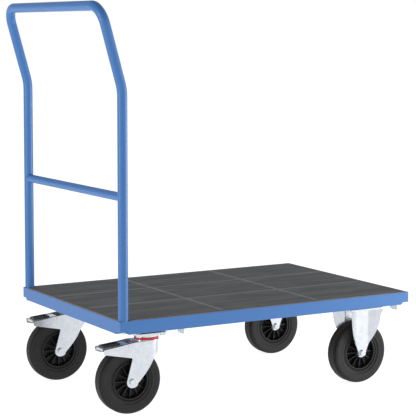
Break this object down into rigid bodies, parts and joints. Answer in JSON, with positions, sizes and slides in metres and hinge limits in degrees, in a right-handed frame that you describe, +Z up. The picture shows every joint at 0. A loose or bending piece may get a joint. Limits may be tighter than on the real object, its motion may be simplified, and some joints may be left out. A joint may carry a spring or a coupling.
{
  "type": "platform cart",
  "caption": "Flat platform cart with a high push bow, braked swivel castors at the bow end and fixed castors at the other.",
  "frame": {"origin": "centre of the whole cart's box on the floor that the wheels stand on", "axes": "+X the way the cart is pushed, away from the bow; +Y to its left; +Z up"},
  "size_m": [1.112, 0.713, 1.23],
  "materials": {
    "blue_paint": "satin powder coat",
    "board": "sealed board",
    "deck_mat": "fine grained non-slip sheet",
    "deck_line": "fine grained",
    "tyre_rubber": "moulded rubber",
    "black_plastic": "moulded",
    "red_seal": "satin moulded",
    "pedal_rubber": "ribbed",
    "bright_steel": "ground",
    "zinc": "bright zinc plate"
  },
  "bodies": {
    "chassis": {"bow_bolts": "zinc", "bow_crossbar": "blue_paint", "bow_spigots": "zinc", "castor_bolts": "zinc", "castor_nuts": "zinc", "corner_blocks_front": "blue_paint", "corner_sockets": "blue_paint", "cross_member_front": "blue_paint", "cross_member_rear": "blue_paint", "deck_board": "board", "deck_inlay": "deck_line", "deck_mat": "deck_mat", "deck_screws": "zinc", "end_rail_front": "blue_paint", "end_rail_rear": "blue_paint", "fixed_axle_bolts": "zinc", "fixed_axle_nuts": "zinc", "fixed_axle_sleeves": "bright_steel", "fixed_fork_left": "zinc", "fixed_fork_right": "zinc", "kingpin_nuts": "zinc", "kingpins": "zinc", "push_bow": "blue_paint", "side_rail_left": "blue_paint", "side_rail_right": "blue_paint", "swivel_balls": "bright_steel", "swivel_plate_left": "zinc", "swivel_plate_right": "zinc", "swivel_seal_left": "red_seal", "swivel_seal_right": "red_seal", "underframe_lugs": "zinc"},
    "castor_right": {"axle_bolt_right": "zinc", "axle_nut_right": "zinc", "axle_sleeve_right": "bright_steel", "brake_pin_right": "zinc", "swivel_fork_right": "zinc"},
    "brake_right": {"brake_block_right": "pedal_rubber", "brake_pad_right": "pedal_rubber", "brake_pedal_right": "zinc"},
    "wheel_rear_right": {"roller_bearing_swivel_right": "bright_steel", "tyre_swivel_right": "tyre_rubber", "wheel_centre_swivel_right": "black_plastic"},
    "wheel_front_right": {"roller_bearing_fixed_right": "bright_steel", "tyre_fixed_right": "tyre_rubber", "wheel_centre_fixed_right": "black_plastic"},
    "castor_left": {"axle_bolt_left": "zinc", "axle_nut_left": "zinc", "axle_sleeve_left": "bright_steel", "brake_pin_left": "zinc", "swivel_fork_left": "zinc"},
    "brake_left": {"brake_block_left": "pedal_rubber", "brake_pad_left": "pedal_rubber", "brake_pedal_left": "zinc"},
    "wheel_rear_left": {"roller_bearing_swivel_left": "bright_steel", "tyre_swivel_left": "tyre_rubber", "wheel_centre_swivel_left": "black_plastic"},
    "wheel_front_left": {"roller_bearing_fixed_left": "bright_steel", "tyre_fixed_left": "tyre_rubber", "wheel_centre_fixed_left": "black_plastic"}
  },
  "joints": [
    {"name": "swivel_right", "type": "hinge", "parent": "chassis", "child": "castor_right", "pos_m": [-0.3525, -0.2565, 0.24], "axis": [0, 0, 1], "continuous": true},
    {"name": "wheel_rear_right_spin", "type": "hinge", "parent": "castor_right", "child": "wheel_rear_right", "pos_m": [-0.41446, -0.25434, 0.1], "axis": [0.0349, 0.9994, 0], "continuous": true},
    {"name": "brake_right_press", "type": "hinge", "parent": "castor_right", "child": "brake_right", "pos_m": [-0.42246, -0.25406, 0.208], "axis": [-0.0349, -0.9994, 0], "range_deg": [0, 12]},
    {"name": "wheel_front_right_spin", "type": "hinge", "parent": "chassis", "child": "wheel_front_right", "pos_m": [0.4195, -0.2595, 0.1], "axis": [0, 1, 0], "continuous": true},
    {"name": "swivel_left", "type": "hinge", "parent": "chassis", "child": "castor_left", "pos_m": [-0.3525, 0.2565, 0.24], "axis": [0, 0, 1], "continuous": true},
    {"name": "wheel_rear_left_spin", "type": "hinge", "parent": "castor_left", "child": "wheel_rear_left", "pos_m": [-0.41441, 0.25974, 0.1], "axis": [0.0523, 0.9986, 0], "continuous": true},
    {"name": "brake_left_press", "type": "hinge", "parent": "castor_left", "child": "brake_left", "pos_m": [-0.4224, 0.26016, 0.208], "axis": [-0.0523, -0.9986, 0], "range_deg": [0, 12]},
    {"name": "wheel_front_left_spin", "type": "hinge", "parent": "chassis", "child": "wheel_front_left", "pos_m": [0.4195, 0.2595, 0.1], "axis": [0, 1, 0], "continuous": true}
  ]
}
